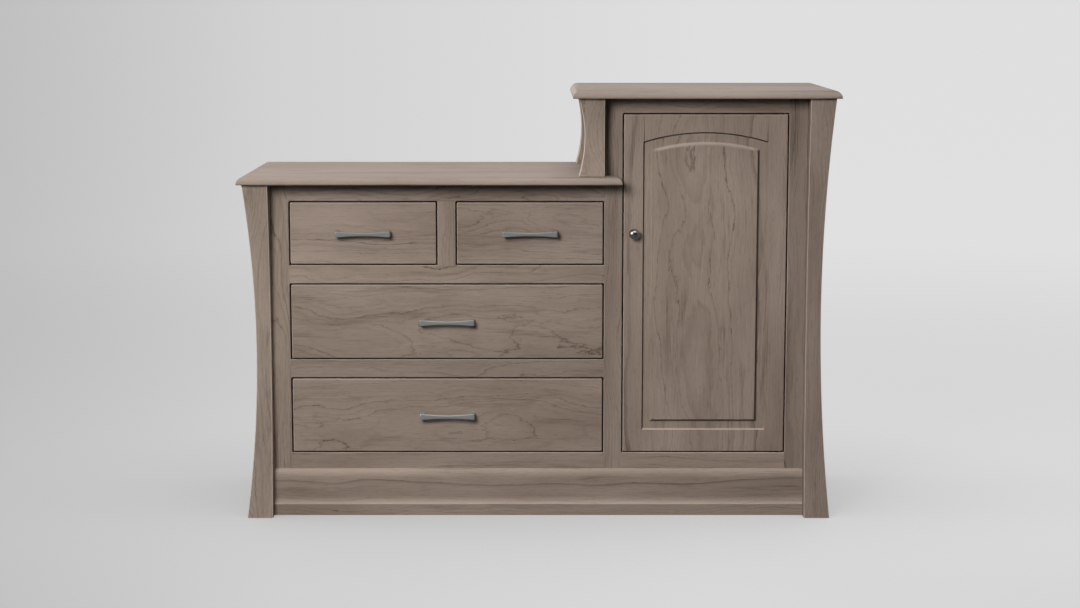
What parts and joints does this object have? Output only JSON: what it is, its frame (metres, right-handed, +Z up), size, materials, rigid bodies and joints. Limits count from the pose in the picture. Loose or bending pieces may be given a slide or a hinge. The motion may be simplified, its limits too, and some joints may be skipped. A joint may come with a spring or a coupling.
{
  "type": "dresser",
  "caption": "Split-level dresser: low bank of inset drawers beside a taller cupboard with an arched raised-panel door, on swept corner posts with a moulded base.",
  "frame": {"origin": "on the floor, at the middle of the whole width and depth", "axes": "+X to the viewer's right along the front, +Y from the front towards the wall, +Z up"},
  "size_m": [1.508, 0.5184, 1.0864],
  "materials": {
    "stained_wood": "grey-brown stain under satin lacquer, fine hardwood grain",
    "inside_wood": "clear satin lacquer on pale maple",
    "back_board": "stained plywood, matt",
    "satin_nickel": "satin nickel plate",
    "hinge_steel": "dark plated steel, satin"
  },
  "bodies": {
    "case": {"post_front_left": "stained_wood", "post_front_right": "stained_wood", "post_rear_left": "stained_wood", "post_rear_right": "stained_wood", "post_upper_front": "stained_wood", "post_upper_rear": "stained_wood", "top_low": "stained_wood", "top_tall": "stained_wood", "side_panel_left": "stained_wood", "side_panel_right": "stained_wood", "side_panel_upper": "stained_wood", "partition": "inside_wood", "inner_side": "inside_wood", "bottom_panel": "inside_wood", "drawer_shelf_lower": "inside_wood", "drawer_shelf_upper": "inside_wood", "shelf_lower": "inside_wood", "shelf_upper": "inside_wood", "centre_guide": "inside_wood", "back_panel_low": "back_board", "back_panel_tall": "back_board", "stile_left": "stained_wood", "stile_centre": "stained_wood", "stile_right": "stained_wood", "mullion": "stained_wood", "rail_top_low": "stained_wood", "rail_upper": "stained_wood", "rail_lower": "stained_wood", "rail_bottom_low": "stained_wood", "rail_top_tall": "stained_wood", "rail_bottom_tall": "stained_wood", "base_front": "stained_wood", "base_left": "stained_wood", "base_right": "stained_wood", "hinge_pin_top": "hinge_steel", "hinge_pin_bottom": "hinge_steel"},
    "drawer_top_left": {"drawer_front_top_left": "stained_wood", "drawer_box_top_left": "inside_wood", "drawer_floor_top_left": "inside_wood", "pull_top_left": "satin_nickel"},
    "drawer_top_right": {"drawer_front_top_right": "stained_wood", "drawer_box_top_right": "inside_wood", "drawer_floor_top_right": "inside_wood", "pull_top_right": "satin_nickel"},
    "drawer_middle": {"drawer_front_middle": "stained_wood", "drawer_box_middle": "inside_wood", "drawer_floor_middle": "inside_wood", "pull_middle": "satin_nickel"},
    "drawer_bottom": {"drawer_front_bottom": "stained_wood", "drawer_box_bottom": "inside_wood", "drawer_floor_bottom": "inside_wood", "pull_bottom": "satin_nickel"},
    "door": {"door_stile_left": "stained_wood", "door_stile_right": "stained_wood", "door_rail_top": "stained_wood", "door_rail_bottom": "stained_wood", "door_panel": "stained_wood", "door_knob": "satin_nickel", "hinge_leaf_top": "hinge_steel", "hinge_leaf_bottom": "hinge_steel"}
  },
  "joints": [
    {"name": "drawer_top_left_slide", "type": "slide", "parent": "case", "child": "drawer_top_left", "axis": [0, -1, 0], "range_m": [0, 0.3]},
    {"name": "drawer_top_right_slide", "type": "slide", "parent": "case", "child": "drawer_top_right", "axis": [0, -1, 0], "range_m": [0, 0.3]},
    {"name": "drawer_middle_slide", "type": "slide", "parent": "case", "child": "drawer_middle", "axis": [0, -1, 0], "range_m": [0, 0.3]},
    {"name": "drawer_bottom_slide", "type": "slide", "parent": "case", "child": "drawer_bottom", "axis": [0, -1, 0], "range_m": [0, 0.3]},
    {"name": "door_hinge", "type": "hinge", "parent": "case", "child": "door", "pos_m": [0.6207, -0.18225, 0.59295], "axis": [0, 0, 1], "range_deg": [0, 110]}
  ]
}
